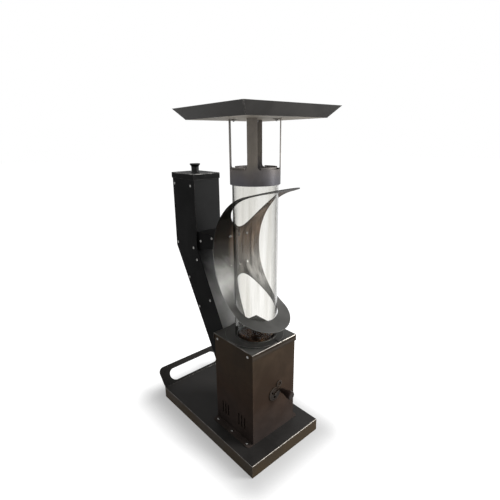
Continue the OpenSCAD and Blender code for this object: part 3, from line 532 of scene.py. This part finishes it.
# Burner inside the box
# A stand, a feed ramp, a basket of pierced sheet and the square riser round it. All of it has been
# red-hot, so the bare sheet has a dry rust skin.
fired, tree, shader = new_material("fired_sheet")
place = add_node(tree, "ShaderNodeTexCoord")
scale_skin = add_node(tree, "ShaderNodeTexNoise", Scale=55.0, Detail=8.0, Roughness=0.7)
skin_colour = add_node(tree, "ShaderNodeValToRGB")
set_ramp(skin_colour, (0.30, (0.012, 0.007, 0.005)), (0.52, (0.060, 0.030, 0.016)),
         (0.72, (0.170, 0.085, 0.040)))
skin_bump = add_node(tree, "ShaderNodeBump", Strength=0.25, Distance=0.0005)
shader.inputs["Roughness"].default_value = 0.82
shader.inputs["Specular IOR Level"].default_value = 0.2
wire(tree,
     (place.outputs["Object"], scale_skin.inputs["Vector"]),
     (scale_skin.outputs["Fac"], skin_colour.inputs["Fac"]),
     (skin_colour.outputs["Color"], shader.inputs["Base Color"]),
     (scale_skin.outputs["Fac"], skin_bump.inputs["Height"]),
     (skin_bump.outputs["Normal"], shader.inputs["Normal"]))
fired_edge = worn_highlit_edge("fired_edge", (0.07, 0.035, 0.018), (0.22, 0.17, 0.13), 0.6)
bring_out("burner_stand", "stand", "root", "fired_steel", fired, fired_edge)
bring_out("feed_ramp", "ramp", "root", "fired_steel", fired, fired_edge)
bring_out("flame_riser", "riser", "root", "fired_steel", fired, fired_edge)
bring_out("fire_basket", "basket", "basket", "fired_steel", fired, fired_edge,
          edge=0.0003, rounds=1)

# Seat ring
# A pressed steel ring, 211 mm across, whose inner edge is turned up to keep the glass in the
# middle. A slit towards the front lets it give when it is hot.
ring_low, ring_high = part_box("seat_ring")
ring_steel = sheet_finish("ring_steel",
                          [(0.0, (0.050, 0.049, 0.046)), (1.0, (0.080, 0.079, 0.075))],
                          ring_low.z, ring_high.z, metal=0.5, cloud=0.3, grain=flat_grain)
ring_edge = worn_highlit_edge("ring_edge", (0.090, 0.086, 0.082), (0.20, 0.19, 0.18), 0.4)
bring_out("seat_ring", "ring", "root", "guard_steel", ring_steel, ring_edge,
          edge=0.0007, rounds=3)

# Glass tube
# A borosilicate tube, 150 mm across with 5 mm walls, cut square and fire-polished at both rims.
# Smoke has left a faint warm film on it, in streaks that run up.
glass_wall = 0.005
glass_r = (tube_high.x - tube_low.x) / 2
rim_h = 0.02
rim_round = 0.0018
glass, tree, shader = new_material("smoked_glass")
shader.inputs["Transmission Weight"].default_value = 1.0
shader.inputs["IOR"].default_value = 1.17
place = add_node(tree, "ShaderNodeTexCoord")
stretch = add_node(tree, "ShaderNodeMapping")
stretch.inputs["Scale"].default_value = (1, 1, 0.06)
film = add_node(tree, "ShaderNodeTexNoise", Scale=34.0, Detail=5.0, Roughness=0.6)
film_colour = add_node(tree, "ShaderNodeValToRGB")
set_ramp(film_colour, (0.36, (0.905, 0.902, 0.887)), (0.66, (0.730, 0.722, 0.690)))
# Seen edge-on, towards the tube's sides, the glass is painted darker: painted shade for the dark
# lines that refraction draws along its edges.
grazing = add_node(tree, "ShaderNodeLayerWeight", Blend=0.5)
rim_shade = add_node(tree, "ShaderNodeMapRange",
                     From_Min=0.30, From_Max=1.0, To_Min=1.0, To_Max=0.1)
film_and_rim_shade = add_node(tree, "ShaderNodeHueSaturation")
film_shine = add_node(tree, "ShaderNodeMapRange",
                      From_Min=0.3, From_Max=0.75, To_Min=0.0, To_Max=0.03)
wire(tree,
     (place.outputs["Object"], stretch.inputs["Vector"]),
     (stretch.outputs["Vector"], film.inputs["Vector"]),
     (film.outputs["Fac"], film_colour.inputs["Fac"]),
     (film_colour.outputs["Color"], film_and_rim_shade.inputs["Color"]),
     (grazing.outputs["Facing"], rim_shade.inputs["Value"]),
     (rim_shade.outputs["Result"], film_and_rim_shade.inputs["Value"]),
     (film_and_rim_shade.outputs["Color"], shader.inputs["Base Color"]),
     (film.outputs["Fac"], film_shine.inputs["Value"]),
     (film_shine.outputs["Result"], shader.inputs["Roughness"]))
clear_selection()
bpy.ops.mesh.primitive_cylinder_add(vertices=96, radius=glass_r, depth=rim_h,
                                    end_fill_type="NOTHING",
                                    location=(axis_x, axis_y, tube_low.z + rim_h / 2))
tube = bpy.context.object
tube.name = "tube"
bpy.ops.object.transform_apply(location=True, rotation=True, scale=True)
tube.data.materials.append(glass)


def upper_rim(edge):
    return all(tube.data.vertices[index].co.z > tube_low.z + rim_h / 2 for index in edge.vertices)


select_parts(tube, "EDGE", upper_rim)
for rise in (tube_high.z - tube_low.z - 2 * rim_h, rim_h):
    bpy.ops.mesh.extrude_edges_move(TRANSFORM_OT_translate={"value": (0, 0, rise)})
bpy.ops.mesh.select_all(action="DESELECT")
bpy.ops.object.mode_set(mode="OBJECT")
wall = tube.modifiers.new("glass_wall", "SOLIDIFY")
wall.thickness = glass_wall
wall.offset = -1
wall.use_even_offset = True
bpy.ops.object.modifier_apply(modifier="glass_wall")
polish = tube.modifiers.new("polished_rims", "BEVEL")
polish.width = rim_round
polish.segments = 4
polish.limit_method = "ANGLE"
polish.angle_limit = radians(50)
bpy.ops.object.modifier_apply(modifier="polished_rims")
smooth_faces(tube, 50)
finish_piece(tube, "glass", "clear_glass", "glass_tube")

# Hopper and chute
# Two flat side panels and two bent plates of 2 mm sheet, screwed together through flanges. The
# panels run down to the burner box, where the pellets slide in. They are painted black. The front
# plate has a pale painted sheen at its foot, a painted reflection of the bright sky, and above it
# painted shade from the bracket and the hopper lies on the black paint.
chute_foot = 0.1
hopper_rim = 1.0
hopper_paint = sheet_finish("hopper_paint",
                            [(0.0, (0.005, 0.005, 0.005)), (0.6, (0.008, 0.008, 0.008)),
                             (1.0, (0.024, 0.024, 0.024))],
                            chute_foot, hopper_rim, specular=0.02, gloss=0.44, dull=0.58, cloud=0.2)
hopper_edge = worn_highlit_edge("hopper_edge", (0.075, 0.074, 0.072), (0.24, 0.23, 0.22), 0.35)
# The front plate's pale foot is a painted reflection. The dark above it is black paint and painted
# shade.
sheen_foot = 0.40
dark_top = 0.96
chute_sheen_paint = sheet_finish("chute_sheen_paint",
                           [(0.0, (0.240, 0.240, 0.236)), (0.28, (0.260, 0.260, 0.256)),
                            (0.42, (0.040, 0.040, 0.040)), (0.50, (0.009, 0.009, 0.009)),
                            (1.0, (0.018, 0.018, 0.018))],
                           sheen_foot, dark_top, specular=0.10, gloss=0.34, dull=0.50, cloud=0.04)
for node, name, finish in (("hopper_side_left", "hopper_left", hopper_paint),
                           ("hopper_side_right", "hopper_right", hopper_paint),
                           ("hopper_front_plate", "chute_front", chute_sheen_paint),
                           ("hopper_rear_plate", "chute_rear", hopper_paint)):
    bring_out(node, name, "root", "hopper_steel", finish, hopper_edge)

# Hopper lid and its knob
# A lid of 1.5 mm sheet with a turned-down skirt, which sits loose on the hopper's rim. A moulded
# black knob, held by one screw from below, lifts it off.
cover_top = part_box("hopper_lid")[1].z
bring_out("hopper_lid", "lid_sheet", "hopper_cover", "hopper_steel", hopper_paint, hopper_edge,
          edge=0.0005, fold=(cover_top, 0.0025))
moulded, tree, shader = new_material("moulded_black")
shader.inputs["Base Color"].default_value = (0.005, 0.005, 0.005, 1)
shader.inputs["Specular IOR Level"].default_value = 0.2
marks = use_group(tree, hand_marks, Smudge_Size=60.0)
shine = add_node(tree, "ShaderNodeMapRange", To_Min=0.26, To_Max=0.42)
skin = add_node(tree, "ShaderNodeTexNoise", Scale=900.0)
place = add_node(tree, "ShaderNodeTexCoord")
bump = add_node(tree, "ShaderNodeBump", Strength=0.08, Distance=0.0002)
wire(tree,
     (marks.outputs["Smudge"], shine.inputs["Value"]),
     (shine.outputs["Result"], shader.inputs["Roughness"]),
     (place.outputs["Object"], skin.inputs["Vector"]),
     (skin.outputs["Fac"], bump.inputs["Height"]),
     (bump.outputs["Normal"], shader.inputs["Normal"]))
bring_out("lid_knob", "knob", "hopper_cover", "black_plastic", moulded, moulded,
          edge=0.0008, rounds=3)

# Bracket
# A folded 2 mm sheet with two cheeks, which carries the guard from the hopper. It is screwed to an
# inner mount on the hopper's front.
bring_out("bracket_mount", "bracket_inside", "root", "hopper_steel", hopper_paint, hopper_edge)
bring_out("guard_bracket", "bracket", "root", "hopper_steel", hopper_paint, hopper_edge)

# Flame guard
# A sheet bent round behind the glass, with a round opening at each end that the tube passes
# through. The flame's heat has browned its upper half, and its inside all over. Low down, inside
# and out, a pale band is a painted sheen where the bent sheet catches the light. The plain inside
# beside the flame is darker, partly painted shade.
guard_low, guard_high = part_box("flame_guard")
# Outside, the pale band low down is a painted sheen, and the dark upper half is heat.
guard_steel = sheet_finish("guard_sheet",
                           [(0.0, (0.120, 0.118, 0.110)), (0.30, (0.280, 0.280, 0.276)),
                            (0.52, (0.090, 0.088, 0.085)), (0.72, (0.010, 0.009, 0.008)),
                            (1.0, (0.016, 0.014, 0.012))],
                           guard_low.z, guard_high.z, metal=0.6, gloss=0.34, dull=0.46,
                           cloud=0.06, grain=up_grain)
flame_colours = [(0.0, (0.075, 0.074, 0.070)), (0.16, (0.130, 0.128, 0.122)),
                 (0.40, (0.160, 0.152, 0.144)), (0.60, (0.175, 0.128, 0.096)),
                 (0.85, (0.120, 0.092, 0.074)), (1.0, (0.060, 0.058, 0.056))]
plain_x = -0.045
licked_x = -0.015
# Inside, the pale band low down is a painted sheen too, and the plain part is partly painted shade.
guard_lining = sheet_finish("guard_lining",
                            [(0.0, (0.082, 0.081, 0.077)), (0.14, (0.110, 0.108, 0.103)),
                             (0.28, (0.300, 0.300, 0.296)), (0.40, (0.200, 0.198, 0.195)),
                             (0.48, (0.060, 0.057, 0.054)), (0.62, (0.020, 0.016, 0.013)),
                             (0.85, (0.010, 0.009, 0.008)), (1.0, (0.060, 0.058, 0.056))],
                            guard_low.z, guard_high.z, metal=0.5, gloss=0.40, dull=0.55,
                            cloud=0.07, grain=up_grain, flame=(flame_colours, plain_x, licked_x))
bend_before_axis = 0.122
bend_height = 0.712
bend_centre = Vector((axis_x, axis_y - bend_before_axis, bend_height))


def faces_flame(middle, normal):
    inward = Vector((0, bend_centre.y - middle.y, bend_centre.z - middle.z))
    return inward.normalized().dot(normal) > 0.7


guard_edge = worn_highlit_edge("guard_edge", (0.11, 0.10, 0.09), (0.42, 0.40, 0.37), 0.7)
bring_out("flame_guard", "guard", "root", "guard_steel", guard_steel, guard_edge,
          lining=guard_lining, lined=faces_flame)

# Collar, clips and cap
# The crown that keeps rain off the flame: a rolled band with four arms, spring clips inside it that
# sit on the glass rim, and a folded square dish. The steel has bronze and purple heat colours.
band_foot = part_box("collar")[0].z
cap_low, cap_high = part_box("cap")
under_depth = 0.02
crown_steel = sheet_finish("crown_sheet",
                           [(0.0, (0.135, 0.132, 0.145)), (0.22, (0.150, 0.138, 0.134)),
                            (0.40, (0.220, 0.196, 0.168)), (1.0, (0.230, 0.208, 0.184))],
                           band_foot, cap_low.z, metal=0.35, gloss=0.42, dull=0.52,
                           cloud=0.12, grain=fine_peel)
crown_edge = worn_highlit_edge("crown_edge", (0.12, 0.10, 0.09), (0.32, 0.30, 0.27), 0.5)
cap_steel = sheet_finish("cap_sheet", [(0.0, (0.054, 0.051, 0.048)), (1.0, (0.062, 0.059, 0.056))],
                         cap_low.z, cap_high.z, metal=0.2, gloss=0.34, dull=0.48,
                         cloud=0.3, grain=flat_grain)
# The dish's underside is painted pale and warm, a painted reflection of the lit floor below it.
floor_reflection_paint = sheet_finish("cap_floor_reflection", [(0.0, (0.46, 0.42, 0.36)), (1.0, (0.33, 0.29, 0.24))],
                         cap_low.z - under_depth, cap_low.z + under_depth, metal=0.3, gloss=0.5,
                         dull=0.6, cloud=0.35)


def looks_down(middle, normal):
    return normal.z < -0.95 and middle.z < cap_low.z + 0.001


upright_limit = 0.2
rolled_limit = 0.97


def shade_as_rolled(piece):
    """Gives the rolled walls of a piece round the glass's axis the normals of a true cylinder."""
    mesh = piece.data
    normals = [corner.vector.copy() for corner in mesh.corner_normals]
    for face in mesh.polygons:
        if abs(face.normal.z) > upright_limit:
            continue
        for loop in face.loop_indices:
            point = mesh.vertices[mesh.loops[loop].vertex_index].co
            outward = Vector((point.x - axis_x, point.y - axis_y, 0)).normalized()
            facing = outward.dot(face.normal)
            if abs(facing) > rolled_limit:
                normals[loop] = outward if facing > 0 else -outward
    mesh.normals_split_custom_set(normals)


for node, name, body in (("collar_clips", "clips", "clip_ring"), ("collar", "collar_band", "crown")):
    shade_as_rolled(bring_out(node, name, body, "tinted_steel", crown_steel, crown_edge, edge=0.0003))
# The cap's edges are bright bare steel, mostly a painted highlight along its folds and corner slits.
cap_highlight_edge = worn_highlit_edge("cap_highlight_edge", (0.10, 0.09, 0.08), (0.60, 0.58, 0.54), 0.7)
bring_out("cap", "cap_dish", "crown", "tinted_steel", cap_steel, cap_highlight_edge,
          lining=floor_reflection_paint, lined=looks_down)

# Air damper
# A pierced disc that turns on a screw and covers or frees the air holes behind it. The handle is a
# moulded grip on a steel rod.
damper_foot = 0.15
damper_top = 0.26
damper_paint = sheet_finish("damper_paint",
                            [(0.0, (0.026, 0.018, 0.014)), (1.0, (0.034, 0.024, 0.018))],
                            damper_foot, damper_top, gloss=0.34, dull=0.48)
damper_edge = worn_highlit_edge("damper_edge", (0.110, 0.086, 0.066), (0.20, 0.17, 0.14), -1.0)
bring_out("damper_disc", "damper_plate", "damper", "box_steel", damper_paint, damper_edge,
          edge=0.0006)
bring_out("damper_lever", "damper_arm", "damper", "box_steel", damper_paint, damper_edge,
          edge=0.0003)
grip_finish = sheet_finish("grip_finish",
                           [(0.0, (0.020, 0.013, 0.011)), (1.0, (0.028, 0.019, 0.016))],
                           damper_foot, damper_top, gloss=0.30, dull=0.42, smudge=60.0)
bring_out("damper_knob", "damper_grip", "damper", "black_plastic", grip_finish, grip_finish,
          edge=0.0003)

# Fasteners
# Zinc-plated button-head screws with a hexagon socket, and plain nuts behind the sheets. They hold
# guard, bracket, hopper, box, lid and cap, and the damper's disc turns on one of them.
zinc, tree, shader = new_material("zinc_plate")
shader.inputs["Metallic"].default_value = 1.0
marks = use_group(tree, hand_marks, Smudge_Size=130.0)
colour = add_node(tree, "ShaderNodeValToRGB")
set_ramp(colour, (0.0, (0.28, 0.28, 0.27)), (1.0, (0.15, 0.145, 0.14)))
shine = add_node(tree, "ShaderNodeMapRange", To_Min=0.18, To_Max=0.40)
wire(tree,
     (marks.outputs["Smudge"], colour.inputs["Fac"]),
     (colour.outputs["Color"], shader.inputs["Base Color"]),
     (marks.outputs["Smudge"], shine.inputs["Value"]),
     (shine.outputs["Result"], shader.inputs["Roughness"]))
dull_screw = sheet_finish("dull_screw",
                          [(0.0, (0.060, 0.052, 0.045)), (1.0, (0.075, 0.066, 0.058))],
                          damper_foot, damper_top, metal=0.5)
head_r = 0.005
head_h = 0.003
head_round = 0.0018
shank_r = 0.0024
tip_h = 0.0004
tip_share = 0.85
key_r = 0.0018
key_depth = 0.0017


def button_screw(length):
    """One screw, upright with its tip at the origin and the top of its head at this length."""
    clear_selection()
    bpy.ops.mesh.primitive_cylinder_add(vertices=24, radius=head_r, depth=head_h,
                                        location=(0, 0, length - head_h / 2))
    screw = bpy.context.object
    bpy.ops.object.transform_apply(location=True, rotation=True, scale=True)
    select_parts(screw, "FACE", lambda face: face.normal.z > 0.9)
    bpy.ops.mesh.bevel(offset=head_round, segments=4, affect="EDGES")
    bpy.ops.object.mode_set(mode="OBJECT")
    select_parts(screw, "FACE", lambda face: face.normal.z < -0.9)
    bpy.ops.mesh.inset(thickness=head_r - shank_r)
    for drop in (head_h - length + tip_h, -tip_h):
        bpy.ops.mesh.extrude_region_move(TRANSFORM_OT_translate={"value": (0, 0, drop)})
    bpy.ops.transform.resize(value=(tip_share, tip_share, 1), center_override=(0, 0, 0))
    bpy.ops.object.mode_set(mode="OBJECT")
    bpy.ops.mesh.primitive_cylinder_add(vertices=6, radius=key_r, depth=2 * key_depth,
                                        location=(0, 0, length))
    key = bpy.context.object
    socket = screw.modifiers.new("key_socket", "BOOLEAN")
    socket.operation = "DIFFERENCE"
    socket.solver = "EXACT"
    socket.object = key
    take(screw)
    bpy.ops.object.modifier_apply(modifier="key_socket")
    bpy.data.objects.remove(key)
    screw.data.materials.append(zinc)
    smooth_faces(screw, 40)
    return screw


def screw_places(node):
    """Where each screw of a packed set stands: its tip, the way that it points, its length."""
    copy_node(node, "loose_" + node)
    bpy.ops.object.mode_set(mode="EDIT")
    bpy.ops.mesh.separate(type="LOOSE")
    bpy.ops.object.mode_set(mode="OBJECT")
    places = []
    for one in list(bpy.context.selected_objects):
        points = [vertex.co.copy() for vertex in one.data.vertices]
        middle = sum(points, Vector()) / len(points)
        reach = max((point - middle).length for point in points)
        end = [point for point in points if (point - middle).length > reach * 0.97]
        tip = sum(end, Vector()) / len(end)
        way = (middle - tip).normalized()
        if max(abs(part) for part in way) > 0.999:
            way = Vector([round(part) for part in way])
        places.append((tip, way, max((point - tip).dot(way) for point in points)))
        bpy.data.objects.remove(one)
    return places


for node, body in (("guard_screws", "root"), ("bracket_screws", "root"),
                   ("hopper_screws", "root"), ("box_flange_screws", "root"),
                   ("box_lid_screws", "root"), ("damper_pivot", "root"),
                   ("lid_knob_screw", "hopper_cover"), ("cap_bolts", "crown")):
    placed = []
    for tip, way, length in screw_places(node):
        screw = button_screw(length)
        turned = way.to_track_quat("Z", "Y").to_matrix().to_4x4()
        screw.data.transform(Matrix.Translation(tip) @ turned)
        placed.append(screw)
    take(placed[0])
    for screw in placed:
        screw.select_set(True)
    if len(placed) > 1:
        bpy.ops.object.join()
    placed[0].name = node + "_set"
    if node == "damper_pivot":
        placed[0].data.materials[0] = dull_screw
    finish_piece(placed[0], body, "bright_screw", node)

for node, body in (("guard_nuts", "root"), ("box_flange_nuts", "root"), ("cap_nuts", "crown")):
    bring_out(node, node + "_set", body, "bright_screw", zinc, zinc, edge=0.0002)
